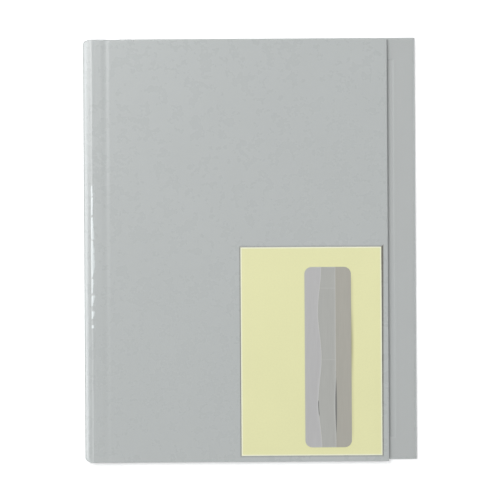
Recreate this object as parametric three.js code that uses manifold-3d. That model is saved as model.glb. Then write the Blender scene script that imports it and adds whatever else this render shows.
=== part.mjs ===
// Hardcover binding cover, A4, lying closed on its back with the front folded over it.
// One covering sheet wraps five boards: back, back hinge strip, spine, front hinge strip and front.
// Millimetres. X runs from the spine to the fore edges, Y from tail to head, Z up.
// The origin is the middle of the footprint, on the surface that the cover lies on.
import * as THREE from "three";
import { mergeVertices } from "three/addons/utils/BufferGeometryUtils.js";
import Module from "manifold-3d";

const wasm = await Module();
wasm.setup();

// Boards, from head to tail and from the fold to the fore edge.
const boardHeight = 299.4;
const boardThickness = 1.5;
const spineWidth = 9;
const stripWidth = 7.5;
const coverBoardWidth = 198.7;
const foldReach = 6.5;
const jointWidth = 11;
const creaseWidth = 3;
const creaseDepth = 0.8;

// The front is folded over a little askew, so it lies this much nearer the tail than the back.
const frontSlip = 1.1;

// Covering sheet and linings.
const wrapThickness = 0.25;
const turnIn = 15;
const mitreSlit = 0.3;
const liningThickness = 0.15;
const liningInset = 1.5;
const liningSlope = 1.2;
const glueFilm = 0.05;
const closedGap = 0.3;

// Backing sheet that lies on the front, measured from the front's fore edge and tail.
const sheetWidth = 100;
const sheetHeight = 148;
const sheetThickness = 0.15;
const sheetForeMargin = 4.8;
const sheetTailMargin = 4.4;

// Label on the backing sheet, cut lengthwise into three strips.
const labelWidth = 33;
const labelHeight = 128;
const labelThickness = 0.25;
const labelCornerRadius = 5;
const labelForeMargin = 21.7;
const labelTailMargin = 5.8;
const labelCut = 0.3;
const wavyCutPlace = 10.7;
const wavyCutSwing = 1.2;
const wavyCutLength = 64;
const straightCutPlace = 22;
const openSlitWidth = 1.2;
const openSlitLow = 9;
const openSlitHigh = 50;

// Steps along the bent stretches and the cuts.
const foldSteps = 32;
const creaseSteps = 16;
const cutSteps = 64;
const cornerSteps = 8;

// Layers of one cover, counted from the outside.
const boardLevel = wrapThickness + glueFilm;
const flapLevel = boardLevel + boardThickness + glueFilm;
const rimLevel = flapLevel + wrapThickness + glueFilm;
const panelThickness = rimLevel + liningThickness;
const closedHeight = 2 * panelThickness + closedGap;

// Places along X, from the outside of the fold.
const wallThickness = wrapThickness + glueFilm;
const stripStart = foldReach;
const creaseStart = stripStart + stripWidth;
const coverStart = creaseStart + creaseWidth;
const foreEdge = coverStart + coverBoardWidth + wallThickness;
const spineEnd = foldReach + spineWidth;
const backShift = spineEnd + jointWidth - stripStart;
const overallWidth = foreEdge + backShift;
const halfHeight = boardHeight / 2 + wallThickness;

const covering = new THREE.MeshStandardMaterial({ color: 0xb9bcbb, roughness: 0.32, metalness: 0 });
const greyboard = new THREE.MeshStandardMaterial({ color: 0x8f877a, roughness: 0.95, metalness: 0 });
const liningPaper = new THREE.MeshStandardMaterial({ color: 0xacafae, roughness: 0.75, metalness: 0 });
const backingPaper = new THREE.MeshStandardMaterial({ color: 0xdfe2b2, roughness: 0.5, metalness: 0 });
const labelFacing = new THREE.MeshStandardMaterial({ color: 0xaab0ad, roughness: 0.5, metalness: 0 });

// A closed geometry as a manifold solid.
function solid(geometry) {
  const bare = geometry.clone();
  bare.deleteAttribute("normal");
  bare.deleteAttribute("uv");
  const merged = mergeVertices(bare, 1e-5);
  return new wasm.Manifold(
    new wasm.Mesh({
      numProp: 3,
      vertProperties: merged.getAttribute("position").array,
      triVerts: new Uint32Array(merged.index.array),
    }),
  );
}

// A manifold solid as a geometry.
function geometryOf(manifold) {
  const mesh = manifold.getMesh();
  const geometry = new THREE.BufferGeometry();
  geometry.setAttribute("position", new THREE.BufferAttribute(mesh.vertProperties, 3));
  geometry.setIndex(new THREE.BufferAttribute(mesh.triVerts, 1));
  geometry.computeVertexNormals();
  return geometry;
}

function slab(xLow, xHigh, yLow, yHigh, zLow, zHigh) {
  const box = new THREE.BoxGeometry(xHigh - xLow, yHigh - yLow, zHigh - zLow);
  return box.translate((xLow + xHigh) / 2, (yLow + yHigh) / 2, (zLow + zHigh) / 2);
}

function shapeOf(points) {
  return new THREE.Shape(points.map(([x, y]) => new THREE.Vector2(x, y)));
}

// A section drawn in Y and Z, extruded along X.
function extrudeAlongX(section, xLow, xHigh) {
  const bar = new THREE.ExtrudeGeometry(shapeOf(section), { depth: xHigh - xLow, bevelEnabled: false });
  const yzToWorld = new THREE.Matrix4().makeBasis(
    new THREE.Vector3(0, 1, 0),
    new THREE.Vector3(0, 0, 1),
    new THREE.Vector3(1, 0, 0),
  );
  return bar.applyMatrix4(yzToWorld).translate(xLow, 0, 0);
}

// Equal rings of points joined one to the next, with both ends closed.
function loft(rings, section) {
  const count = rings[0].length;
  const positions = rings.flat(2);
  const index = [];
  for (let ring = 0; ring + 1 < rings.length; ring += 1) {
    for (let corner = 0; corner < count; corner += 1) {
      const next = (corner + 1) % count;
      const a = ring * count + corner;
      const b = ring * count + next;
      index.push(a, b, b + count, a, b + count, a + count);
    }
  }
  const last = (rings.length - 1) * count;
  for (const [a, b, c] of THREE.ShapeUtils.triangulateShape(section, [])) {
    index.push(a, c, b, last + a, last + b, last + c);
  }
  const geometry = new THREE.BufferGeometry();
  geometry.setAttribute("position", new THREE.Float32BufferAttribute(positions, 3));
  geometry.setIndex(index);
  return geometry;
}

// Section of the wrapped board: outer skin, the two edge walls, and the flaps turned in over the board.
function wrappedSection() {
  const flapTop = flapLevel + wrapThickness;
  const flapEdge = halfHeight - turnIn;
  const inside = halfHeight - wrapThickness;
  const half = [
    [halfHeight, 0],
    [halfHeight, flapTop],
    [flapEdge, flapTop],
    [flapEdge, flapLevel],
    [inside, flapLevel],
    [inside, wrapThickness],
  ];
  const mirrored = half.map(([y, z]) => [-y, z]).reverse();
  return [...half, ...mirrored];
}

// Section of the unbacked sheet: one layer, and two at head and tail where it is turned in.
// Each corner is a place along Y and how many layers lie outside it.
function unbackedSection() {
  const flapEdge = halfHeight - turnIn;
  const half = [
    [halfHeight, 0],
    [halfHeight, 2],
    [flapEdge, 2],
    [flapEdge, 1],
  ];
  const mirrored = half.map(([y, layers]) => [-y, layers]).reverse();
  return [...half, ...mirrored];
}

// Section of a lining: it lies on the flaps at head and tail, and is pressed onto the board between.
function liningSection() {
  const edge = halfHeight - liningInset;
  const flapEdge = halfHeight - turnIn;
  const pressed = flapEdge - liningSlope;
  const upper = [
    [edge, rimLevel + liningThickness],
    [flapEdge, rimLevel + liningThickness],
    [pressed, flapLevel + liningThickness],
  ];
  const lower = [
    [edge, rimLevel],
    [flapEdge, rimLevel],
    [pressed, flapLevel],
  ];
  const mirror = (points) => points.map(([y, z]) => [-y, z]).reverse();
  return [...upper, ...mirror(upper), ...mirror(lower).reverse(), ...lower.slice().reverse()];
}

// The covering over a cover board: skin, three edge walls and three mitred flaps.
function coverWrap() {
  const flapTop = flapLevel + wrapThickness;
  const inside = halfHeight - wrapThickness;
  const foreInside = foreEdge - wrapThickness;
  const whole = solid(slab(coverStart, foreEdge, -halfHeight, halfHeight, 0, flapTop));
  const open = coverStart - turnIn;
  const cavity = solid(slab(open, foreInside, -inside, inside, wrapThickness, flapLevel));
  const windowEdge = halfHeight - turnIn;
  const window = solid(
    slab(open, foreEdge - turnIn, -windowEdge, windowEdge, boardLevel, flapTop + wrapThickness),
  );
  let wrap = whole.subtract(cavity).subtract(window);
  for (const side of [-1, 1]) {
    const length = (turnIn - wrapThickness) * Math.SQRT2;
    const slit = new THREE.BoxGeometry(length, mitreSlit, 2 * wrapThickness);
    slit.rotateZ((side * Math.PI) / 4);
    const middle = (turnIn + wrapThickness) / 2;
    slit.translate(foreEdge - middle, side * (halfHeight - middle), flapTop);
    wrap = wrap.subtract(solid(slit));
  }
  return geometryOf(wrap);
}

// A four-sided block whose lower and upper faces differ in size.
function taperedBlock(low, high, zLow, zHigh) {
  const corners = ([xLow, xHigh, half], z) => [
    [xLow, -half, z],
    [xHigh, -half, z],
    [xHigh, half, z],
    [xLow, half, z],
  ];
  const section = shapeOf(corners(low, zLow)).getPoints();
  return loft([corners(low, zLow), corners(high, zHigh)], section);
}

// A cover board's lining: it lies on the three flaps and is pressed onto the board.
function coverLining() {
  const edge = halfHeight - liningInset;
  const foreSide = foreEdge - liningInset;
  const flapEdge = halfHeight - turnIn;
  const pressedHalf = flapEdge - liningSlope;
  const flapFore = foreEdge - turnIn;
  const pressedFore = flapFore - liningSlope;
  const past = coverStart - turnIn;
  const rim = solid(slab(coverStart, foreSide, -edge, edge, rimLevel, rimLevel + liningThickness));
  const wide = [past, flapFore, flapEdge];
  const narrow = [past, pressedFore, pressedHalf];
  const below = solid(taperedBlock(narrow, wide, flapLevel, rimLevel));
  const above = solid(taperedBlock(narrow, wide, flapLevel + liningThickness, rimLevel + liningThickness));
  const reach = solid(slab(coverStart, foreSide, -edge, edge, flapLevel, panelThickness));
  return geometryOf(rim.add(below).intersect(reach).subtract(above));
}

// The unbacked sheet along a bend. Each station has a point for any depth in layers, and a shift in Y.
function bentSheet(stations) {
  const section = unbackedSection();
  const rings = stations.map(({ at, shift }) =>
    section.map(([y, layers]) => {
      const [x, z] = at(layers * wrapThickness);
      return [x, y + shift, z];
    }),
  );
  return loft(rings, shapeOf(section).getPoints());
}

// The crease: the sheet sinks between hinge strip and cover board.
function creaseSheet() {
  const stations = [];
  for (let step = 0; step <= creaseSteps; step += 1) {
    const share = step / creaseSteps;
    const sunk = creaseDepth * Math.sin(Math.PI * share) ** 2;
    const x = creaseStart + creaseWidth * share;
    stations.push({ at: (depth) => [x, sunk + depth], shift: 0 });
  }
  return bentSheet(stations);
}

// The fold: half an ellipse from the spine's underside to the top of the front hinge strip.
function foldSheet() {
  const rise = closedHeight / 2;
  const stations = [];
  for (let step = 0; step <= foldSteps; step += 1) {
    const turn = (Math.PI * step) / foldSteps;
    const at = (depth) => [
      foldReach - (foldReach - depth) * Math.sin(turn),
      rise - (rise - depth) * Math.cos(turn),
    ];
    stations.push({ at, shift: (frontSlip / 2) * Math.cos(turn) });
  }
  stations.reverse();
  return bentSheet(stations);
}

// The flexible joint between spine board and back hinge strip lies flat.
function jointSheet() {
  const flat = unbackedSection().map(([y, layers]) => [y, layers * wrapThickness]);
  return extrudeAlongX(flat, spineEnd, spineEnd + jointWidth);
}

function piece(name, geometry, material) {
  const mesh = new THREE.Mesh(geometry, material);
  mesh.name = name;
  return mesh;
}

// One cover with its hinge strip, outside down, with the fold at X 0.
function coverHalf(side) {
  const half = new THREE.Group();
  const boardHalf = boardHeight / 2;
  const boardTop = boardLevel + boardThickness;
  const coverEnd = coverStart + coverBoardWidth;
  half.add(
    piece(
      side + "_strip_board",
      slab(stripStart, creaseStart, -boardHalf, boardHalf, boardLevel, boardTop),
      greyboard,
    ),
    piece(side + "_strip_wrap", extrudeAlongX(wrappedSection(), stripStart, creaseStart), covering),
    piece(side + "_strip_lining", extrudeAlongX(liningSection(), stripStart, coverStart), liningPaper),
    piece(side + "_crease_wrap", creaseSheet(), covering),
    piece(
      side + "_board",
      slab(coverStart, coverEnd, -boardHalf, boardHalf, boardLevel, boardTop),
      greyboard,
    ),
    piece(side + "_cover_wrap", coverWrap(), covering),
    piece(side + "_cover_lining", coverLining(), liningPaper),
  );
  return half;
}

// Half the width of the straight cut at a height over the label's tail: it gapes along one stretch.
function straightCutHalf(height) {
  const share = (height - openSlitLow) / (openSlitHigh - openSlitLow);
  const gape = share > 0 && share < 1 ? Math.sin(Math.PI * share) * openSlitWidth : 0;
  return (labelCut + gape) / 2;
}

function wavyCutAt(height) {
  return wavyCutPlace + wavyCutSwing * Math.cos((2 * Math.PI * height) / wavyCutLength);
}

// Points of a cut from tail to head.
function alongCut(place) {
  const points = [];
  for (let step = 0; step <= cutSteps; step += 1) {
    const height = (labelHeight * step) / cutSteps;
    points.push([place(height), height]);
  }
  return points;
}

// Points of a quarter round of the label's corner, about a centre, from a start angle.
function cornerRound(x, y, startQuarter) {
  const points = [];
  for (let step = 0; step <= cornerSteps; step += 1) {
    const angle = ((startQuarter + step / cornerSteps) * Math.PI) / 2;
    points.push([x + labelCornerRadius * Math.cos(angle), y + labelCornerRadius * Math.sin(angle)]);
  }
  return points;
}

function labelStrips() {
  const low = labelCornerRadius;
  const high = labelHeight - labelCornerRadius;
  const right = labelWidth - labelCornerRadius;
  const leftCut = alongCut((height) => wavyCutAt(height) - labelCut / 2);
  const middleLeft = alongCut((height) => wavyCutAt(height) + labelCut / 2);
  const middleRight = alongCut((height) => straightCutPlace - straightCutHalf(height));
  const rightCut = alongCut((height) => straightCutPlace + straightCutHalf(height));
  const outlines = {
    label_left_strip: [...leftCut, ...cornerRound(low, high, 1), ...cornerRound(low, low, 2)],
    label_middle_strip: [...middleRight, ...middleLeft.reverse()],
    label_right_strip: [...cornerRound(right, low, 3), ...cornerRound(right, high, 0), ...rightCut.reverse()],
  };
  return Object.entries(outlines).map(([name, outline]) =>
    piece(
      name,
      new THREE.ExtrudeGeometry(shapeOf(outline), { depth: labelThickness, bevelEnabled: false }),
      labelFacing,
    ),
  );
}

const group = new THREE.Group();
group.position.x = -overallWidth / 2;

const back = coverHalf("back");
back.position.set(backShift, frontSlip / 2, 0);

const spine = new THREE.Group();
spine.position.y = frontSlip / 2;
spine.add(
  piece(
    "spine_board",
    slab(foldReach, spineEnd, -boardHeight / 2, boardHeight / 2, boardLevel, boardLevel + boardThickness),
    greyboard,
  ),
  piece("spine_wrap", extrudeAlongX(wrappedSection(), foldReach, spineEnd), covering),
  piece("back_joint_wrap", jointSheet(), covering),
);

// The front is the same as the back, turned over onto it.
const front = coverHalf("front");
front.position.set(0, -frontSlip / 2, closedHeight);
front.scale.z = -1;

const backingSheet = new THREE.Group();
backingSheet.position.set(
  foreEdge - sheetForeMargin - sheetWidth,
  -frontSlip / 2 - halfHeight + sheetTailMargin,
  closedHeight + glueFilm,
);
backingSheet.add(piece("backing_sheet", slab(0, sheetWidth, 0, sheetHeight, 0, sheetThickness), backingPaper));

const label = new THREE.Group();
label.position.set(
  sheetWidth - labelForeMargin - labelWidth,
  labelTailMargin,
  sheetThickness + glueFilm,
);
label.add(...labelStrips());
backingSheet.add(label);

group.add(back, spine, piece("front_fold_wrap", foldSheet(), covering), front, backingSheet);

export default group;
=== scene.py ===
"""An empty hardcover binding case, folded shut, seen from straight above.

The covering is one film-laminated sheet. It is made here as four stretches that
meet on flat ground, because each can bend at only one hinge: the front, the fold,
the spine with the back's joint, and the back.
"""
import math

import bmesh
import bpy
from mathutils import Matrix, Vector, noise


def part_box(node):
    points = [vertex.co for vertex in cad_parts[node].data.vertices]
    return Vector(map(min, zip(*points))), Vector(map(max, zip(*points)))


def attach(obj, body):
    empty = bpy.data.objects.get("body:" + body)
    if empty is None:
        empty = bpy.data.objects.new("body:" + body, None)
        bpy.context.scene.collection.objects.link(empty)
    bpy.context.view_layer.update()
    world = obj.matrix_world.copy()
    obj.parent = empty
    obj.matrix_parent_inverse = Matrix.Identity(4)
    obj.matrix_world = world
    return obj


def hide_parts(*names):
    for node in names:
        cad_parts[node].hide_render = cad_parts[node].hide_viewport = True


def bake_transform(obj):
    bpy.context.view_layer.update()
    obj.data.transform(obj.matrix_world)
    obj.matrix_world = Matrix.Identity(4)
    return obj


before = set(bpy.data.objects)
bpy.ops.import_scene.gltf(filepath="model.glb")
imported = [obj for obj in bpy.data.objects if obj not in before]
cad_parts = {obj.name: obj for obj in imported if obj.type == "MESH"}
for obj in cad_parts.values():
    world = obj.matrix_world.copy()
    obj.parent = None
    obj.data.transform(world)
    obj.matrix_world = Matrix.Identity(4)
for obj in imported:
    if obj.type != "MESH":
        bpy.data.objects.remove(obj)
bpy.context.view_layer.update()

MM = 0.001
TINY = 0.01 * MM
UP = 1
DOWN = -1

# Places and levels that the CAD solids give.
front_strip_low, front_strip_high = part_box("front_strip_wrap")
front_low, front_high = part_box("front_cover_wrap")
back_strip_low, back_strip_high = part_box("back_strip_wrap")
back_low, back_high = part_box("back_cover_wrap")
spine_low, spine_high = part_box("spine_wrap")
lining_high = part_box("back_cover_lining")[1]
sheet_low, sheet_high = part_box("backing_sheet")

FOLD_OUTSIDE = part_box("front_fold_wrap")[0].x
FOLD_END = front_strip_low.x
CLOSED_TOP = front_high.z
FRONT_MIDDLE_Y = (front_low.y + front_high.y) / 2
BACK_MIDDLE_Y = (back_low.y + back_high.y) / 2
HALF_HEIGHT = (front_high.y - front_low.y) / 2
WRAPPED_DEPTH = back_high.z - back_low.z
LINING_INSET = back_high.x - lining_high.x
LINING_TOP = lining_high.z

# The covering sheet and the linings.
SHEET_THICKNESS = 0.25 * MM
TURN_IN = 15 * MM
SHOULDER_DROP = 0.2 * MM
SHOULDER_WIDTH = 1.5 * MM
FRONT_CREASE_PLACE = FOLD_OUTSIDE + 16.1 * MM
FRONT_CREASE_NEAR = 3.8 * MM
FRONT_CREASE_FAR = 3.1 * MM
FRONT_CREASE_DEPTH = 0.16 * MM
PINCH_SLOPE = 0.9 * MM
DENT_DEPTH = 0.18 * MM
EDGE_ROUND = 0.5 * MM
MITRE_GAP = 0.1 * MM
CREASE_DEPTH = 0.8 * MM
JOINT_BEND = 2.4 * MM
FOLD_STEPS = 48
FOLD_CORNER = 3.2 * MM
FOLD_FLAP_INSET = 0.2
LINING_THICKNESS = 0.15 * MM
LINING_STEP_INSIDE = 1.6 * MM
LINING_STEP_OUTSIDE = 0.6 * MM
LINING_CREASE_DIP = 0.25 * MM
FRONT_ROWS = round(2 * HALF_HEIGHT / (0.75 * MM))
BACK_ROWS = round(2 * HALF_HEIGHT / (1.5 * MM))


# Small tools for modelling by hand.

def select_nothing():
    for one in bpy.context.selected_objects:
        one.select_set(False)


def finish_primitive(name):
    """Names the primitive just added and puts its place into its mesh."""
    made = bpy.context.object
    made.name = name
    made.data.name = name
    bpy.ops.object.transform_apply(location=True, rotation=True, scale=True)
    return made


def add_sheet(name, low, high, level, rows):
    """A flat sheet between two corners, one face wide and so many rows long."""
    select_nothing()
    bpy.ops.mesh.primitive_grid_add(
        x_subdivisions=1,
        y_subdivisions=rows,
        size=1,
        location=((low[0] + high[0]) / 2, (low[1] + high[1]) / 2, level),
    )
    bpy.context.object.scale = (high[0] - low[0], high[1] - low[1], 1)
    return finish_primitive(name)


def edit(piece):
    select_nothing()
    piece.select_set(True)
    bpy.context.view_layer.objects.active = piece
    bpy.ops.object.mode_set(mode="EDIT")


def leave_edit():
    bpy.ops.object.mode_set(mode="OBJECT")


def pick(piece, kind, wanted):
    """In edit mode, selects the corners, edges or faces for which wanted is true."""
    bpy.ops.mesh.select_mode(type=kind)
    bpy.ops.mesh.select_all(action="DESELECT")
    mesh = bmesh.from_edit_mesh(piece.data)
    parts = {"VERT": mesh.verts, "EDGE": mesh.edges, "FACE": mesh.faces}[kind]
    for part in parts:
        part.select_set(bool(wanted(part)))
    mesh.select_flush_mode()
    bmesh.update_edit_mesh(piece.data)


def cut_across(piece, axis, places):
    """Cuts a sheet through at each place along X (axis 0) or Y (axis 1)."""
    edit(piece)
    for place in places:
        bpy.ops.mesh.select_all(action="SELECT")
        point = [0, 0, 0]
        direction = [0, 0, 0]
        point[axis] = place
        direction[axis] = 1
        bpy.ops.mesh.bisect(plane_co=point, plane_no=direction)
    leave_edit()


def move_points(piece, moved):
    """Moves every corner of the mesh to where moved puts it."""
    for point in piece.data.vertices:
        point.co = moved(point.co.copy())
    piece.data.update()


def thicken(piece, thickness):
    select_nothing()
    piece.select_set(True)
    bpy.context.view_layer.objects.active = piece
    made = piece.modifiers.new("thickness", "SOLIDIFY")
    made.thickness = thickness
    made.offset = -1
    made.use_even_offset = True
    bpy.ops.object.modifier_apply(modifier=made.name)


def smooth(piece, degrees=40):
    select_nothing()
    piece.select_set(True)
    bpy.context.view_layer.objects.active = piece
    bpy.ops.object.shade_smooth_by_angle(angle=math.radians(degrees))


def face_outwards(piece, outward, sample):
    """Turns all faces round if the sampled ones look the wrong way."""
    edit(piece)
    bpy.ops.mesh.select_all(action="SELECT")
    bpy.ops.mesh.normals_make_consistent(inside=False)
    leave_edit()
    looks = sum(face.normal.z * face.area for face in piece.data.polygons if sample(face.center))
    if looks * outward < 0:
        edit(piece)
        bpy.ops.mesh.select_all(action="SELECT")
        bpy.ops.mesh.flip_normals()
        leave_edit()


def ease(share):
    share = min(max(share, 0.0), 1.0)
    return share * share * (3 - 2 * share)


def steps(low, high, count):
    return [low + (high - low) * step / count for step in range(count + 1)]


# Shape of the handled sheet: creases, crinkles and waves.

def wave(x, y, length, seed):
    """Smooth noise that changes over about the given length. The seed picks its pattern."""
    return noise.noise(Vector((x / length, y / length, seed)))


# Teeth of the puckered film, in mm: top and bottom along the fold, and the width at each.
PUCKERS = (
    (46.0, 38.5, 0.7, 1.1),
    (38.0, 25.5, 1.2, 0.9),
    (24.0, 8.5, 0.8, 2.0),
    (7.0, -1.5, 1.0, 2.0),
    (-2.0, -11.0, 1.9, 2.3),
    (-11.0, -18.7, 2.2, 0.6),
    (-20.0, -30.5, 1.3, 0.7),
    (-32.0, -39.0, 2.5, 0.6),
    (-43.0, -48.5, 2.2, 0.5),
    (-53.0, -55.0, 1.5, 1.2),
)
PUCKER_START = 5.35 * MM
PUCKER_SPREAD = 0.3 * MM
PUCKER_HEIGHT = 0.11 * MM
STREAK_HEIGHT = 0.03 * MM


def pucker_width(y):
    for top, bottom, wide_top, wide_bottom in PUCKERS:
        if bottom * MM <= y <= top * MM:
            share = (top * MM - y) / ((top - bottom) * MM)
            return (wide_top + (wide_bottom - wide_top) * share) * MM + PUCKER_SPREAD
    return 0.0


def pucker_line(x, y):
    """The broken bright line of puckers: straight on the fold's side, toothed on the other."""
    across = x - FOLD_OUTSIDE - PUCKER_START
    if abs(across) > 6 * MM or not -62 * MM < y < 52 * MM:
        return 0.0
    width = pucker_width(y + 0.3 * MM * wave(x, y, MM, 3.7))
    if width:
        width += 0.35 * MM * wave(0, y, 0.9 * MM, 8.1)
    line = ease(across / (0.3 * MM)) * ease((width - across) / (0.6 * MM) + 0.5)
    line *= 1 - 0.35 * ease((across - 0.8 * MM) / (1.6 * MM))
    slanted = across / (0.8 * MM) - y / (3.4 * MM)
    branch = ease((noise.noise(Vector((slanted, y / (2.2 * MM), 6.1))) - 0.2) / 0.3)
    beside = ease(across / (0.8 * MM)) * ease((4.2 * MM - across) / (2.6 * MM))
    beside *= ease((y + 60 * MM) / (9 * MM))
    return min(line + 0.35 * branch * beside * ease((50 * MM - y) / (6 * MM)), 1.0)


def crinkle(x, y):
    """Height of the film's puckers beside the fold, where it was bent round the board's edge."""
    across = x - FOLD_OUTSIDE
    near_fold = ease((12 * MM - across) / (7 * MM)) * ease(across / (2 * MM))
    streaks = STREAK_HEIGHT * noise.noise(Vector((across / (1.3 * MM), y / (9 * MM), 5.5)))
    return PUCKER_HEIGHT * pucker_line(x, y) + near_fold * streaks


def crease_depth(x, start, end):
    if x <= start or x >= end:
        return 0.0
    return CREASE_DEPTH * math.sin(math.pi * (x - start) / (end - start)) ** 2


def bell(share):
    """A rounded hollow from -1 to 1, deepest in the middle."""
    return (1 + math.cos(math.pi * share)) / 2 if abs(share) < 1 else 0.0


def pinch(x, start, end, slope):
    """How far the turned-in edge is pressed onto the sheet where no board lies between."""
    return ease((x - start) / slope) * ease((end - x) / slope)


def wrapped_sheet(name, x_low, x_high, middle_y, outside, inward, fore_turned, columns, rows):
    """The sheet over a row of boards: skin, edge walls and turned-in flaps."""
    y_low = middle_y - HALF_HEIGHT
    y_high = middle_y + HALF_HEIGHT
    sheet = add_sheet(name, (x_low, y_low), (x_high, y_high), outside, rows)
    if fore_turned:
        columns = columns + [x_high - TURN_IN]
    cut_across(sheet, 0, columns)
    cut_across(sheet, 1, [y_low + TURN_IN, y_high - TURN_IN])
    wall = WRAPPED_DEPTH * inward

    def on_rim(co):
        head_or_tail = abs(abs(co.y - middle_y) - HALF_HEIGHT) < TINY
        fore = fore_turned and abs(co.x - x_high) < TINY
        return head_or_tail, fore

    def rim_edge(level):
        def wanted(edge):
            ends = [on_rim(vert.co) for vert in edge.verts]
            at_level = all(abs(vert.co.z - level) < TINY for vert in edge.verts)
            return at_level and (all(end[0] for end in ends) or all(end[1] for end in ends))
        return wanted

    edit(sheet)
    pick(sheet, "EDGE", rim_edge(outside))
    bpy.ops.mesh.extrude_region_move(TRANSFORM_OT_translate={"value": (0, 0, wall)})
    pick(sheet, "EDGE", rim_edge(outside + wall))
    bpy.ops.mesh.extrude_region_move(TRANSFORM_OT_translate={"value": (0, 0, wall)})
    flap = outside + 2 * wall

    # Each flap turns in, and is cut off at the mitre near the fore corners.
    mesh = bmesh.from_edit_mesh(sheet.data)
    for vert in mesh.verts:
        if abs(vert.co.z - flap) > TINY:
            continue
        from_end = HALF_HEIGHT - abs(vert.co.y - middle_y)
        from_fore = x_high - vert.co.x if fore_turned else 1.0
        if from_end < TINY:
            turned = min(TURN_IN, max(from_fore - MITRE_GAP, 0))
            vert.co.y -= math.copysign(turned, vert.co.y - middle_y)
        else:
            vert.co.x -= min(TURN_IN, max(from_end - MITRE_GAP, 0))
        vert.co.z = flap - wall
    bmesh.update_edit_mesh(sheet.data)
    bpy.ops.mesh.select_all(action="SELECT")
    bpy.ops.mesh.remove_doubles(threshold=0.02 * MM)

    def rounded(edge):
        return rim_edge(outside)(edge) or rim_edge(outside + wall)(edge)

    pick(sheet, "EDGE", rounded)
    bpy.ops.mesh.bevel(offset=EDGE_ROUND, segments=4, affect="EDGES")
    leave_edit()
    face_outwards(sheet, -inward, lambda centre: abs(centre.z - outside) < TINY)
    thicken(sheet, SHEET_THICKNESS)
    return sheet


def press_in(sheet, middle_y, outside, inward, shape):
    """Presses creases, pinched edges, bumps and dents into a wrapped sheet.

    For a place on the sheet, shape gives how deep it is sunk, the share by which it is pinched,
    how high it is bumped and how deep its skin alone is dented.
    """
    double = 2 * SHEET_THICKNESS
    skin = [point.co for point in sheet.data.vertices if abs(point.co.z - outside) < TINY]
    x_high = max(co.x for co in skin) + EDGE_ROUND

    def moved(co):
        depth = min(max((co.z - outside) * inward, 0), WRAPPED_DEPTH)
        co.x = min(co.x, x_high)
        co.y = min(max(co.y, middle_y - HALF_HEIGHT), middle_y + HALF_HEIGHT)
        sunk, pinched, bumped, dented = shape(co.x, co.y)
        at_wall = abs(co.y - middle_y) > HALF_HEIGHT - EDGE_ROUND
        if depth > 1.2 * MM or (at_wall and depth > SHEET_THICKNESS):
            depth *= 1 - pinched * (1 - double / WRAPPED_DEPTH)
        elif depth < double:
            depth -= bumped - (dented if depth < SHEET_THICKNESS / 2 else 0)
        co.z = outside + (sunk + depth) * inward
        return co

    move_points(sheet, moved)


def mark(piece, name, amount):
    """Keeps an amount for each corner of the mesh, which a finish reads by its name."""
    marks = piece.data.attributes.new(name, "FLOAT", "POINT")
    for point, one in zip(piece.data.vertices, marks.data):
        one.value = amount(point.co)


# Keeps a painted highlight for each corner: the share by which its colour turns lighter where
# puckers and label lips catch the light.
def mark_painted_highlight(piece, painted_highlight):
    mark(piece, "painted_highlight", painted_highlight)


def dent(x, y):
    """The line that the backing sheet's fore edge and tail edge pressed into the covering."""
    beside_x = ease((x - sheet_high.x + 0.35 * MM) / (0.3 * MM))
    beside_x *= ease((sheet_high.x + 1.3 * MM - x) / (0.8 * MM))
    beside_y = ease((sheet_low.y + 0.2 * MM - y) / (0.4 * MM))
    beside_y *= ease((y - sheet_low.y + 1.3 * MM) / (0.8 * MM))
    if sheet_low.y - 0.5 * MM < y < sheet_high.y and beside_x > 0:
        return beside_x
    if sheet_low.x < x < sheet_high.x + 0.5 * MM and beside_y > 0:
        return beside_y
    return 0.0


def painted_edge_shadow(x, y):
    """Painted shadow: the dark line on the covering round the backing sheet, strongest high on its
    fore edge.
    """
    up = (y - sheet_low.y) / (sheet_high.y - sheet_low.y)
    # For each side of the sheet: how far outside it the place lies, strength and width there.
    sides = (
        (x - sheet_high.x, 0.5 + 0.45 * up, (0.8 + 0.5 * up) * MM),
        (sheet_low.x - x, 0.55, 0.6 * MM),
        (sheet_low.y - y, 0.25, 0.7 * MM),
        (y - sheet_high.y, 0.3, 0.7 * MM),
    )
    off, strength, width = max(sides)
    return strength * ease((width + 0.4 * MM - off) / (0.4 * MM)) if off > -2 * MM else 0.0


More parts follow.
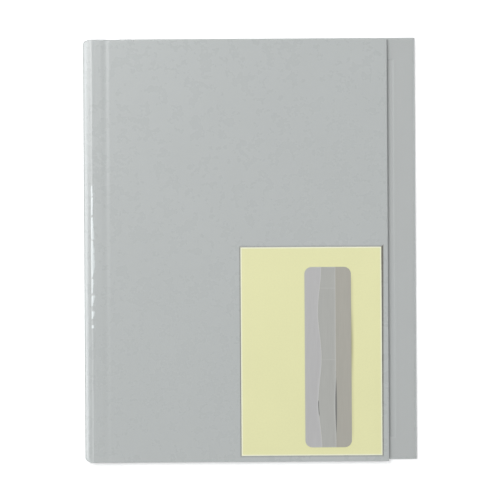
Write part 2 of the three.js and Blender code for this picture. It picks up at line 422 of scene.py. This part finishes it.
def front_covering():
    strip_end = front_strip_high.x
    cover_start = front_low.x
    near = steps(FOLD_END + 0.15 * MM, FOLD_END + 3.3 * MM, 22)
    crease = steps(FOLD_END + 3.8 * MM, cover_start + 3.5 * MM, 28)
    beyond = steps(cover_start + 5 * MM, cover_start + 10 * MM, 3)
    board = steps(cover_start + 18 * MM, front_high.x - 2 * MM, 22)
    board += steps(sheet_high.x - 0.4 * MM, sheet_high.x + 2.0 * MM, 12)
    board += steps(sheet_low.x - 1.4 * MM, sheet_low.x + 0.2 * MM, 4)
    sheet = wrapped_sheet(
        "front_covering", FOLD_END, front_high.x, FRONT_MIDDLE_Y, CLOSED_TOP, DOWN,
        fore_turned=True, columns=near + crease + beyond + board, rows=FRONT_ROWS,
    )

    def shape(x, y):
        sunk = FRONT_CREASE_DEPTH * (0.9 + 0.3 * wave(0, y, 40 * MM, 2.2))
        off_middle = x - FRONT_CREASE_PLACE
        sunk *= bell(off_middle / (FRONT_CREASE_FAR if off_middle > 0 else FRONT_CREASE_NEAR))
        settled = ease((x - cover_start) / (10 * MM))
        dented = DENT_DEPTH * dent(x, y)
        swell = 0.05 * MM * wave(x, y, 70 * MM, 6.4) * settled
        pinched = pinch(x, strip_end, cover_start, PINCH_SLOPE)
        return sunk, pinched, crinkle(x, y) + swell, dented

    press_in(sheet, FRONT_MIDDLE_Y, CLOSED_TOP, DOWN, shape)
    # Painted highlight along the puckers beside the fold.
    mark_painted_highlight(sheet, lambda co: pucker_line(co.x, co.y))
    # Painted shadow: the covering is darkened in a thin line round the backing sheet.
    mark(sheet, "painted_edge_shadow", lambda co: painted_edge_shadow(co.x, co.y) if co.z > CLOSED_TOP - MM else 0.0)
    smooth(sheet)
    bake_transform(sheet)
    return sheet


def back_covering():
    start = (back_strip_low.x + back_strip_high.x) / 2
    strip_end = back_strip_high.x
    cover_start = back_low.x
    columns = steps(strip_end, cover_start, 20)
    columns += steps(cover_start + 5 * MM, back_high.x - 4 * MM, 20)
    sheet = wrapped_sheet(
        "back_covering", start, back_high.x, BACK_MIDDLE_Y, back_low.z, UP,
        fore_turned=True, columns=columns, rows=BACK_ROWS,
    )

    def shape(x, y):
        sunk = crease_depth(x, strip_end, cover_start)
        return sunk, pinch(x, strip_end, cover_start, PINCH_SLOPE), 0, 0

    press_in(sheet, BACK_MIDDLE_Y, back_low.z, UP, shape)
    smooth(sheet)
    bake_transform(sheet)
    return sheet


def spine_covering():
    joint_start = spine_high.x
    joint_end = back_strip_low.x
    end = (back_strip_low.x + back_strip_high.x) / 2
    axis = (joint_start + joint_end) / 2
    bend_end = axis + JOINT_BEND
    columns = steps(spine_low.x + 2 * MM, joint_start - 1 * MM, 4)
    columns += steps(joint_start, joint_end, 26)
    columns += steps(axis, bend_end, 12)
    sheet = wrapped_sheet(
        "spine_covering", spine_low.x, end, BACK_MIDDLE_Y, spine_low.z, UP,
        fore_turned=False, columns=columns, rows=BACK_ROWS,
    )

    def shape(x, y):
        return 0, pinch(x, joint_start, joint_end, 1.4 * MM), 0, 0

    press_in(sheet, BACK_MIDDLE_Y, spine_low.z, UP, shape)
    smooth(sheet)
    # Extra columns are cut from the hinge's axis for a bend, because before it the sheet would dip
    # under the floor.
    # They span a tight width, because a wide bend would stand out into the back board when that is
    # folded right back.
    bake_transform(sheet)
    return sheet


def fold_covering():
    """The loop round the fold: a line spun through half a turn and drawn out to an ellipse."""
    rise = CLOSED_TOP / 2
    reach = FOLD_END - FOLD_OUTSIDE
    centre = (FOLD_END, 0, rise)
    flap_y = HALF_HEIGHT - TURN_IN
    loop = add_sheet(
        "fold_covering", (FOLD_END, -HALF_HEIGHT), (FOLD_END + MM, HALF_HEIGHT),
        CLOSED_TOP, FRONT_ROWS,
    )
    cut_across(loop, 1, [-flap_y, flap_y])
    edit(loop)
    pick(loop, "VERT", lambda vert: vert.co.x > FOLD_END + TINY)
    bpy.ops.mesh.delete(type="VERT")
    bpy.ops.mesh.select_all(action="SELECT")
    bpy.ops.mesh.spin(steps=FOLD_STEPS, angle=math.pi, center=centre, axis=(0, 1, 0))
    leave_edit()
    if min(point.co.x for point in loop.data.vertices) > FOLD_END - TINY:
        raise RuntimeError("the fold was spun to the wrong side")

    def at_ends(edge):
        return all(abs(abs(vert.co.y) - HALF_HEIGHT) < TINY for vert in edge.verts)

    # Flaps at head and tail, turned in inside the loop.
    edit(loop)
    pick(loop, "EDGE", at_ends)
    bpy.ops.mesh.extrude_region_move(TRANSFORM_OT_translate={"value": (0, 0, 0)})
    shrunk = 1 - FOLD_FLAP_INSET
    bpy.ops.transform.resize(value=(shrunk, 1, shrunk), center_override=centre)
    bpy.ops.mesh.extrude_region_move(TRANSFORM_OT_translate={"value": (0, 0, 0)})
    bpy.ops.transform.resize(value=(1, flap_y / HALF_HEIGHT, 1), center_override=centre)
    leave_edit()
    face_outwards(loop, UP, lambda middle: middle.z > CLOSED_TOP - 0.05 * MM)
    thicken(loop, SHEET_THICKNESS)

    def moved(co):
        turn = math.atan2(FOLD_END - co.x, co.z - rise)
        size = math.hypot(FOLD_END - co.x, co.z - rise) / rise
        depth = (1 - size) * rise
        if depth > 1.2 * SHEET_THICKNESS:
            # The flap lies on the skin round the fold, and a board's depth off it at both ends.
            near_ends = ease(1 - min(turn, math.pi - turn) / 0.8)
            inner = depth - FOLD_FLAP_INSET * rise
            depth = SHEET_THICKNESS * 1.1 + inner
            depth += near_ends * (WRAPPED_DEPTH - 2.1 * SHEET_THICKNESS)
        side = math.sin(turn)
        from_end = HALF_HEIGHT - abs(co.y)
        rounded = 0.0
        if from_end < FOLD_CORNER:
            square = max(FOLD_CORNER ** 2 - (FOLD_CORNER - from_end) ** 2, 0)
            rounded = FOLD_CORNER - math.sqrt(square)
        x = FOLD_END - (reach - depth) * side + rounded * side * side
        z = rise + (rise - depth) * math.cos(turn)
        lifted = ease((z - rise) / rise) * crinkle(x, co.y + FRONT_MIDDLE_Y)
        shoulder = SHOULDER_DROP * ease((FOLD_END - x) / SHOULDER_WIDTH) * (1 - side ** 4)
        lifted -= math.copysign(shoulder, z - rise)
        lean = (FRONT_MIDDLE_Y - BACK_MIDDLE_Y) / 2 * math.cos(turn)
        lean += (FRONT_MIDDLE_Y + BACK_MIDDLE_Y) / 2
        return Vector((x, co.y + lean, z + lifted))

    move_points(loop, moved)
    # Painted highlight along the puckers on the fold.
    mark_painted_highlight(loop, lambda co: pucker_line(co.x, co.y) if co.z > rise else 0.0)
    smooth(loop, 60)
    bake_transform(loop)
    return loop


def lining_sheet(name, strip_box, cover_box, middle_y, inside, inward):
    """Lining paper over hinge strip, crease and cover: pressed down inside the ring of flaps."""
    x_low = strip_box[0].x
    x_high = cover_box[1].x - LINING_INSET
    half = HALF_HEIGHT - LINING_INSET
    crease_low = strip_box[1].x
    crease_high = cover_box[0].x
    flap_x = cover_box[1].x - TURN_IN
    flap_y = HALF_HEIGHT - TURN_IN
    columns = steps(crease_low - 1 * MM, crease_high + 1 * MM, 16)
    columns += steps(crease_high + 4 * MM, flap_x - 3 * MM, 24)
    columns += steps(flap_x - LINING_STEP_INSIDE, flap_x + LINING_STEP_OUTSIDE, 10)
    lining = add_sheet(
        name, (x_low, middle_y - half), (x_high, middle_y + half), inside,
        round(2 * half / (4 * MM)),
    )
    cut_across(lining, 0, columns)
    head = middle_y + flap_y
    tail = middle_y - flap_y
    rows = steps(head - LINING_STEP_INSIDE, head + LINING_STEP_OUTSIDE, 8)
    rows += steps(tail - LINING_STEP_OUTSIDE, tail + LINING_STEP_INSIDE, 8)
    cut_across(lining, 1, rows)
    face_outwards(lining, inward, lambda centre: True)
    thicken(lining, LINING_THICKNESS)
    step_down = SHEET_THICKNESS + 0.05 * MM

    def moved(co):
        off_flaps = ease((flap_y - abs(co.y - middle_y) + 0.3 * MM) / (1.5 * MM))
        off_flaps *= ease((flap_x - co.x + 0.3 * MM) / (1.5 * MM))
        dip = LINING_CREASE_DIP * pinch(co.x, crease_low, crease_high, 1.5 * MM)
        swell = 0.03 * MM * (wave(co.x, co.y, 55 * MM, 9.3) - 0.5)
        co.z += inward * (-step_down * off_flaps - dip + swell)
        return co

    move_points(lining, moved)
    smooth(lining)
    return lining


def front_lining():
    inside = CLOSED_TOP - LINING_TOP
    lining = lining_sheet(
        "front_lining_paper", (front_strip_low, front_strip_high), (front_low, front_high),
        FRONT_MIDDLE_Y, inside, DOWN,
    )
    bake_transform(lining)
    return lining


def back_lining():
    lining = lining_sheet(
        "back_lining_paper", (back_strip_low, back_strip_high), (back_low, back_high),
        BACK_MIDDLE_Y, LINING_TOP, UP,
    )
    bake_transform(lining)
    return lining


# The yellow sheet and the label on it.
RIGHT_LIFT = 0.26 * MM
LEFT_LIFT = 0.12 * MM
LABEL_CUT = 0.3 * MM
CUT_CLOSED = 0.42 * LABEL_CUT
GASH_OPENED = 0.15 * MM
LABEL_SUNK = 0.13 * MM
LIP_TOP = 0.1 * MM
LIP_SLOPE = 0.85 * MM
LIP_FOOT = 0.8 * MM
SLIT_ROWS = (-135 * MM, -86 * MM)
GASH_ROWS = (-118 * MM, -107 * MM)
CROSS_LINES = (-27.4 * MM, -78.2 * MM)


def backing_sheet():
    """The yellow release paper: it lies down, with its left and right sides lifting a little."""
    sheet = add_sheet(
        "yellow_backing_sheet", (sheet_low.x, sheet_low.y), (sheet_high.x, sheet_high.y),
        sheet_high.z, 72,
    )
    label_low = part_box("label_left_strip")[0].x - 3 * MM
    label_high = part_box("label_right_strip")[1].x
    rim = 1.1 * MM

    def rim_lines(low, high):
        return [low + rim / 2, low + rim, high - rim, high - rim / 2]

    columns = steps(sheet_low.x + 2 * MM, sheet_high.x - 2 * MM, 40)
    columns += rim_lines(sheet_low.x, sheet_high.x)
    columns += steps(label_high - 0.5 * MM, label_high + 3.5 * MM, 9)
    cut_across(sheet, 0, columns)
    cut_across(sheet, 1, rim_lines(sheet_low.y, sheet_high.y))
    face_outwards(sheet, UP, lambda centre: True)
    thicken(sheet, sheet_high.z - sheet_low.z)

    def moved(co):
        to_right = ease((co.x - label_high) / (sheet_high.x - label_high)) ** 1.5
        to_left = ease((label_low - co.x) / (label_low - sheet_low.x)) ** 3
        co.z += RIGHT_LIFT * to_right * (0.85 + 0.3 * wave(0, co.y, 45 * MM, 4.1))
        co.z += LEFT_LIFT * to_left
        return co

    def on_rim(co):
        from_side = min(co.x - sheet_low.x, sheet_high.x - co.x)
        inside = min(from_side, co.y - sheet_low.y, sheet_high.y - co.y)
        return min(2 - 2 * min(inside / rim, 1.0), 1.0)

    def label_shadow(co):
        """Painted shadow of the label on the paper, beside its right edge."""
        beside = ease((label_high + 2.6 * MM - co.x) / (2.8 * MM))
        beside *= ease((co.x - label_high + 1.5 * MM) / MM)
        along = ease((co.y + 137 * MM) / (9 * MM)) * ease((-15 * MM - co.y) / (9 * MM))
        return beside * along * (0.3 + 0.6 * bell((co.y + 66 * MM) / (32 * MM)))

    # Painted highlight: the sheet's rim is coloured lighter, as its cut edges catch the light.
    mark(sheet, "rim", on_rim)
    # Painted shadow of the label beside its right edge.
    mark(sheet, "painted_label_shadow", label_shadow)
    move_points(sheet, moved)
    smooth(sheet, 30)
    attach(sheet, "front_cover")
    return sheet


def label_strip(node_name, name):
    """A strip of the label, from the outline of its solid. Its right edge stands up at a cut."""
    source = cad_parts[node_name]
    at_left = "left" in node_name
    at_right = "right" in node_name
    low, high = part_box(node_name)
    middle_x = (low.x + high.x) / 2
    select_nothing()
    strip = source.copy()
    strip.data = source.data.copy()
    strip.data.materials.clear()
    strip.parent = None
    strip.matrix_world = source.matrix_world.copy()
    bpy.context.scene.collection.objects.link(strip)
    strip.name = name
    strip.data.name = name
    strip.hide_render = False
    edit(strip)
    bpy.ops.mesh.select_all(action="SELECT")
    bpy.ops.mesh.remove_doubles(threshold=0.001 * MM)
    bpy.ops.mesh.normals_make_consistent(inside=False)
    bpy.ops.mesh.select_all(action="SELECT")
    bpy.ops.mesh.dissolve_limited(angle_limit=math.radians(0.3))
    leave_edit()

    def closed_cut(co):
        """Both sides of a cut come close to each other, and draw apart at the gash."""
        gaping = GASH_ROWS[0] < co.y < GASH_ROWS[1]
        if co.x > middle_x and not at_right:
            co.x += -GASH_OPENED if gaping and at_left else CUT_CLOSED
        elif co.x < middle_x and not at_left:
            co.x -= -GASH_OPENED if gaping and not at_right else CUT_CLOSED
        return co

    move_points(strip, closed_cut)
    top = high.z

    def on_top(face):
        return face.calc_center_median().z > top - TINY and face.normal.z > 0.9

    edit(strip)
    pick(strip, "FACE", on_top)
    bpy.ops.mesh.inset(thickness=LIP_TOP, depth=0)
    bpy.ops.mesh.inset(thickness=LIP_SLOPE, depth=-LABEL_SUNK)
    bpy.ops.mesh.inset(thickness=LIP_FOOT, depth=0)
    leave_edit()
    if not at_left and not at_right:
        across = [line + side * 0.5 * MM for line in CROSS_LINES for side in (-1, 0, 1)]
        cut_across(strip, 1, across)

    def on_lip(co):
        return not at_right and co.x > middle_x and co.z > top - TINY

    def on_cross_line(co):
        inside = low.x + 1.2 * MM < co.x < high.x - 0.4 * MM
        at_line = any(abs(co.y - line) < 0.05 * MM for line in CROSS_LINES)
        return not at_left and not at_right and inside and at_line and co.z > top - 0.2 * MM

    # The lips and cross lines are coloured lighter: partly the paper's white cut edge, partly
    # painted highlight where their slopes catch the light.
    def painted_highlight(co):
        return 0.4 if on_lip(co) else 0.22 if on_cross_line(co) else 0.0

    mark_painted_highlight(strip, painted_highlight)

    def shaped(co):
        if on_cross_line(co) and not on_lip(co):
            co.z = min(co.z + 0.05 * MM, top)
        elif co.z > top - TINY and not on_lip(co):
            co.z -= LABEL_SUNK - 0.02 * MM
        return co

    move_points(strip, shaped)
    smooth(strip, 30)
    if not at_left:
        add_under_ply(strip, low.x, SLIT_ROWS if at_right else GASH_ROWS, 0.9 * MM)
    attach(strip, "front_cover")
    return strip


def add_under_ply(strip, x, rows, half_width):
    """The ply that the cut didn't reach, joined to the strip: it is coloured dark, as painted shade
    where the cut gapes.
    """
    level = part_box("label_left_strip")[0].z + 0.06 * MM
    ply = add_sheet("under_ply", (x - half_width, rows[0]), (x + half_width, rows[1]), level, 6)
    face_outwards(ply, UP, lambda centre: True)
    thicken(ply, 0.05 * MM)
    # Painted shade: the ply is coloured dark for the shade down in the gaping cut.
    mark(ply, "painted_slit_shade", lambda co: 1.0)
    mark(ply, "painted_highlight", lambda co: 0.0)
    mark(strip, "painted_slit_shade", lambda co: 0.0)
    select_nothing()
    ply.select_set(True)
    strip.select_set(True)
    bpy.context.view_layer.objects.active = strip
    bpy.ops.object.join()


# Finishes.

COVERING_COLOUR = (0.477, 0.498, 0.491)
# Colour of the painted highlight on the film's puckers.
PUCKER_HIGHLIGHT_COLOUR = (0.74, 0.78, 0.78)
# Colour of the painted shadow line round the backing sheet.
EDGE_SHADOW_COLOUR = (0.12, 0.11, 0.085)
LINING_COLOUR = (0.446, 0.461, 0.454)
BOARD_COLOUR = (0.25, 0.225, 0.19)
BACKING_COLOUR = (0.785, 0.775, 0.43)
# Colour of the painted highlight along the yellow sheet's rim.
RIM_HIGHLIGHT_COLOUR = (0.90, 0.90, 0.68)
# Colour of the label's painted shadow on the yellow paper.
LABEL_SHADOW_COLOUR = (0.42, 0.40, 0.21)
# Colour of the painted shade in the label's gaping cuts.
SLIT_SHADE_COLOUR = (0.19, 0.19, 0.18)
# Label lips and cross lines: partly the paper's white cut edge, partly painted highlight.
LABEL_LIP_HIGHLIGHT_COLOUR = (0.62, 0.62, 0.60)
# Painted light and shade: the strips are one grey paper, coloured lighter on the left strip, which
# faces the light, and darker on the right strip, which faces away.
LABEL_LIT_AND_SHADED_COLOURS = {
    "label_left_strip": (0.462, 0.457, 0.455),
    "label_middle_strip": (0.415, 0.415, 0.39),
    "label_right_strip": (0.395, 0.38, 0.335),
}
FILM_ROUGHNESS = (0.24, 0.33)
PUCKER_ROUGHNESS = 0.2
LABEL_GRAIN = (1, 0.07, 1)


def new_material(name):
    made = bpy.data.materials.new(name)
    made.use_nodes = True
    nodes = made.node_tree.nodes
    return made, nodes, made.node_tree.links, nodes["Principled BSDF"]


def add_node(nodes, kind, inputs=None, **settings):
    made = nodes.new(kind)
    for key, value in settings.items():
        setattr(made, key, value)
    for key, value in (inputs or {}).items():
        made.inputs[key].default_value = value
    return made


def group_start(name, inputs, outputs):
    group = bpy.data.node_groups.new(name, "ShaderNodeTree")
    for label, kind, value in inputs:
        socket = group.interface.new_socket(label, in_out="INPUT", socket_type=kind)
        if value is not None:
            socket.default_value = value
    for label, kind in outputs:
        group.interface.new_socket(label, in_out="OUTPUT", socket_type=kind)
    start = group.nodes.new("NodeGroupInput")
    end = group.nodes.new("NodeGroupOutput")
    return group, start, end


def paper_tone_group():
    """Cloudy tone and fine fibre of paper, as a factor around one and a height."""
    group, start, end = group_start(
        "paper tone",
        [("Vector", "NodeSocketVector", None), ("Cloud Size", "NodeSocketFloat", 40.0),
         ("Fibre Size", "NodeSocketFloat", 2500.0), ("Amount", "NodeSocketFloat", 0.04)],
        [("Factor", "NodeSocketFloat"), ("Height", "NodeSocketFloat")],
    )
    nodes, links = group.nodes, group.links
    cloud = add_node(nodes, "ShaderNodeTexNoise", {"Detail": 3.0, "Roughness": 0.6})
    fibre = add_node(nodes, "ShaderNodeTexNoise", {"Detail": 2.0, "Roughness": 0.5})
    links.new(start.outputs["Vector"], cloud.inputs["Vector"])
    links.new(start.outputs["Cloud Size"], cloud.inputs["Scale"])
    links.new(start.outputs["Vector"], fibre.inputs["Vector"])
    links.new(start.outputs["Fibre Size"], fibre.inputs["Scale"])
    both = add_node(nodes, "ShaderNodeMath", operation="ADD")
    links.new(cloud.outputs["Fac"], both.inputs[0])
    links.new(fibre.outputs["Fac"], both.inputs[1])
    centred = add_node(nodes, "ShaderNodeMath", {1: -1.0}, operation="ADD")
    links.new(both.outputs[0], centred.inputs[0])
    scaled = add_node(nodes, "ShaderNodeMath", operation="MULTIPLY")
    links.new(centred.outputs[0], scaled.inputs[0])
    links.new(start.outputs["Amount"], scaled.inputs[1])
    factor = add_node(nodes, "ShaderNodeMath", {1: 1.0}, operation="ADD")
    links.new(scaled.outputs[0], factor.inputs[0])
    links.new(factor.outputs[0], end.inputs["Factor"])
    links.new(fibre.outputs["Fac"], end.inputs["Height"])
    return group


def toned_colour(nodes, links, colour, factor):
    """The colour times a factor that changes over the surface."""
    grey = add_node(nodes, "ShaderNodeCombineColor")
    for channel in range(3):
        links.new(factor, grey.inputs[channel])
    mix = add_node(nodes, "ShaderNodeMix", data_type="RGBA", blend_type="MULTIPLY")
    mix.inputs["Factor"].default_value = 1.0
    mix.inputs["A"].default_value = (*colour, 1)
    links.new(grey.outputs["Color"], mix.inputs["B"])
    return mix.outputs["Result"]


def place_group(nodes, links, group, vector, values):
    made = nodes.new("ShaderNodeGroup")
    made.node_tree = group
    for key, value in values.items():
        made.inputs[key].default_value = value
    links.new(vector, made.inputs["Vector"])
    return made


def bumped(nodes, links, shader, height, strength, distance):
    bump = add_node(nodes, "ShaderNodeBump", {"Strength": strength, "Distance": distance})
    links.new(height, bump.inputs["Height"])
    links.new(bump.outputs["Normal"], shader.inputs["Normal"])
    return bump


def film_finish(paper_tone):
    """Satin film over grey paper, uneven in tone and shiny at the puckers, with a painted highlight
    along the puckers and a painted shadow line round the backing sheet.
    """
    made, nodes, links, shader = new_material("satin film covering")
    where = nodes.new("ShaderNodeTexCoord")
    tone = place_group(nodes, links, paper_tone, where.outputs["Object"],
                       {"Cloud Size": 22.0, "Fibre Size": 900.0, "Amount": 0.042})
    plain = toned_colour(nodes, links, COVERING_COLOUR, tone.outputs["Factor"])
    # Painted highlight: the colour turns lighter along the puckers.
    painted_highlight = add_node(nodes, "ShaderNodeAttribute", attribute_name="painted_highlight")
    highlighted = add_node(nodes, "ShaderNodeMix", data_type="RGBA")
    highlighted.inputs["B"].default_value = (*PUCKER_HIGHLIGHT_COLOUR, 1)
    links.new(painted_highlight.outputs["Fac"], highlighted.inputs["Factor"])
    links.new(plain, highlighted.inputs["A"])
    # Painted shadow: the colour turns dark in a thin line round the backing sheet.
    edge_shadow_mask = add_node(nodes, "ShaderNodeAttribute", attribute_name="painted_edge_shadow")
    edge_shaded = add_node(nodes, "ShaderNodeMix", data_type="RGBA")
    edge_shaded.inputs["B"].default_value = (*EDGE_SHADOW_COLOUR, 1)
    links.new(edge_shadow_mask.outputs["Fac"], edge_shaded.inputs["Factor"])
    links.new(highlighted.outputs["Result"], edge_shaded.inputs["A"])
    links.new(edge_shaded.outputs["Result"], shader.inputs["Base Color"])
    shader.inputs["IOR"].default_value = 1.5
    worn = add_node(nodes, "ShaderNodeTexNoise", {"Scale": 120.0, "Detail": 4.0, "Roughness": 0.65})
    links.new(where.outputs["Object"], worn.inputs["Vector"])
    gloss = add_node(nodes, "ShaderNodeMapRange", {
        "From Min": 0.3, "From Max": 0.7, "To Min": FILM_ROUGHNESS[0], "To Max": FILM_ROUGHNESS[1],
    })
    links.new(worn.outputs["Fac"], gloss.inputs["Value"])
    shine = add_node(nodes, "ShaderNodeMix", {"B": PUCKER_ROUGHNESS})
    links.new(painted_highlight.outputs["Fac"], shine.inputs["Factor"])
    links.new(gloss.outputs["Result"], shine.inputs["A"])
    links.new(shine.outputs["Result"], shader.inputs["Roughness"])
    peel = add_node(nodes, "ShaderNodeTexNoise", {"Scale": 420.0, "Detail": 3.0, "Roughness": 0.55})
    links.new(where.outputs["Object"], peel.inputs["Vector"])
    bumped(nodes, links, shader, peel.outputs["Fac"], strength=0.25, distance=0.00006)
    return made


def plain_paper_finish(
    name, paper_tone, colour, roughness, cloud, fibre, amount, relief,
    marks=(), stretch=(1, 1, 1),
):
    """Paper of one colour with cloudy tone and fibre.

    Each mark is the name of an amount kept in the mesh, and the colour that the paper turns to.
    """
    made, nodes, links, shader = new_material(name)
    where = nodes.new("ShaderNodeTexCoord")
    drawn_out = add_node(nodes, "ShaderNodeMapping", {"Scale": stretch})
    links.new(where.outputs["Object"], drawn_out.inputs["Vector"])
    tone = place_group(nodes, links, paper_tone, drawn_out.outputs["Vector"],
                       {"Cloud Size": cloud, "Fibre Size": fibre, "Amount": amount})
    shade = toned_colour(nodes, links, colour, tone.outputs["Factor"])
    for mark_name, mark_colour in marks:
        marked = add_node(nodes, "ShaderNodeAttribute", attribute_name=mark_name)
        mix = add_node(nodes, "ShaderNodeMix", data_type="RGBA")
        mix.inputs["B"].default_value = (*mark_colour, 1)
        links.new(marked.outputs["Fac"], mix.inputs["Factor"])
        links.new(shade, mix.inputs["A"])
        shade = mix.outputs["Result"]
    links.new(shade, shader.inputs["Base Color"])
    shader.inputs["Roughness"].default_value = roughness
    bumped(nodes, links, shader, tone.outputs["Height"], strength=0.3, distance=relief)
    return made


def finish_all(coverings, linings, sheet, strips):
    paper_tone = paper_tone_group()
    film = film_finish(paper_tone)
    lining = plain_paper_finish(
        "lining paper", paper_tone, LINING_COLOUR,
        roughness=0.6, cloud=26.0, fibre=1500.0, amount=0.05, relief=0.00003,
    )
    board = plain_paper_finish(
        "greyboard", paper_tone, BOARD_COLOUR,
        roughness=0.95, cloud=90.0, fibre=1200.0, amount=0.25, relief=0.0001,
    )
    yellow = plain_paper_finish(
        "release paper", paper_tone, BACKING_COLOUR,
        roughness=0.45, cloud=16.0, fibre=800.0, amount=0.06, relief=0.00002,
        marks=(("rim", RIM_HIGHLIGHT_COLOUR), ("painted_label_shadow", LABEL_SHADOW_COLOUR)),
    )
    for piece in coverings:
        piece.data.materials.append(film)
    for piece in linings:
        piece.data.materials.append(lining)
    sheet.data.materials.append(yellow)
    for node_name, strip in strips.items():
        facing = plain_paper_finish(
            node_name.replace("_", " ") + " facing", paper_tone, LABEL_LIT_AND_SHADED_COLOURS[node_name],
            roughness=0.5, cloud=90.0, fibre=1100.0, amount=0.11, relief=0.00003,
            marks=(("painted_highlight", LABEL_LIP_HIGHLIGHT_COLOUR), ("painted_slit_shade", SLIT_SHADE_COLOUR)), stretch=LABEL_GRAIN,
        )
        strip.data.materials.clear()
        strip.data.materials.append(facing)
    for node_name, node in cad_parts.items():
        if node_name.endswith("board"):
            node.data.materials.clear()
            node.data.materials.append(board)


# Camera, floor and light.

PHOTO_WIDTH = 355 * MM
CAMERA_HEIGHT = 1.0
CAMERA_TURN = math.radians(-0.35)
SENSOR_WIDTH = 36
FLOOR_LEVEL = -0.15 * MM
FLOOR_GLOW = 0.3
WORLD_COLOUR = (0.97, 0.985, 1, 1)
WORLD_STRENGTH = 0.5
LOW_LIGHT_COLOUR = (0.93, 0.975, 1)


def set_camera():
    data = bpy.data.cameras.new("camera")
    data.sensor_width = SENSOR_WIDTH
    data.lens = SENSOR_WIDTH * CAMERA_HEIGHT / PHOTO_WIDTH
    camera = bpy.data.objects.new("camera", data)
    camera.location = (0, 0, CLOSED_TOP + CAMERA_HEIGHT)
    camera.rotation_euler = (0, 0, CAMERA_TURN)
    bpy.context.scene.collection.objects.link(camera)
    bpy.context.scene.camera = camera


def set_floor():
    select_nothing()
    bpy.ops.mesh.primitive_plane_add(size=6, location=(0, 0, FLOOR_LEVEL))
    floor = finish_primitive("floor")
    made, nodes, links, shader = new_material("white floor")
    shader.inputs["Base Color"].default_value = (0.9, 0.9, 0.9, 1)
    shader.inputs["Emission Color"].default_value = (1, 1, 1, 1)
    shader.inputs["Emission Strength"].default_value = FLOOR_GLOW
    shader.inputs["Roughness"].default_value = 0.9
    shader.inputs["Specular IOR Level"].default_value = 0.1
    floor.data.materials.append(made)


def add_light(name, place, size, power, colour=(1, 1, 1)):
    """A softbox of so many metres and watts, turned to the middle of the floor."""
    data = bpy.data.lights.new(name, "AREA")
    data.shape = "RECTANGLE"
    data.size, data.size_y = size
    data.energy = power
    data.color = colour
    light = bpy.data.objects.new(name, data)
    light.location = place
    light.rotation_euler = (-Vector(place)).to_track_quat("-Z", "Y").to_euler()
    bpy.context.scene.collection.objects.link(light)
    return light


def set_light():
    bpy.context.scene.view_settings.view_transform = "Standard"
    world = bpy.data.worlds.new("studio")
    world.use_nodes = True
    background = world.node_tree.nodes["Background"]
    background.inputs["Color"].default_value = WORLD_COLOUR
    background.inputs["Strength"].default_value = WORLD_STRENGTH
    bpy.context.scene.world = world
    add_light("high softbox", place=(-1.05, 0.85, 2.05), size=(1.2, 1.25), power=33)
    add_light("fill", place=(1.6, 0.5, 2.2), size=(1.2, 1.2), power=5)
    # The low one only shows as the long reflection in the fold: it would draw shadows too wide.
    low = add_light(
        "low softbox", place=(-1.97, 0, 1.38), size=(2.2, 1.6), power=78, colour=LOW_LIGHT_COLOUR,
    )
    low.visible_diffuse = False


def main():
    set_camera()
    coverings = [front_covering(), fold_covering(), spine_covering(), back_covering()]
    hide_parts("front_cover_wrap", "front_strip_wrap", "front_crease_wrap")
    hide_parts("front_fold_wrap")
    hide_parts("spine_wrap", "back_joint_wrap")
    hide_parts("back_cover_wrap", "back_strip_wrap", "back_crease_wrap")
    linings = [front_lining(), back_lining()]
    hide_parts("front_cover_lining", "front_strip_lining")
    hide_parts("back_cover_lining", "back_strip_lining")
    sheet = backing_sheet()
    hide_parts("backing_sheet")
    strips = {}
    for node_name in LABEL_LIT_AND_SHADED_COLOURS:
        strips[node_name] = label_strip(node_name, node_name + "_facing")
        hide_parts(node_name)
    finish_all(coverings, linings, sheet, strips)
    set_floor()
    set_light()


main()
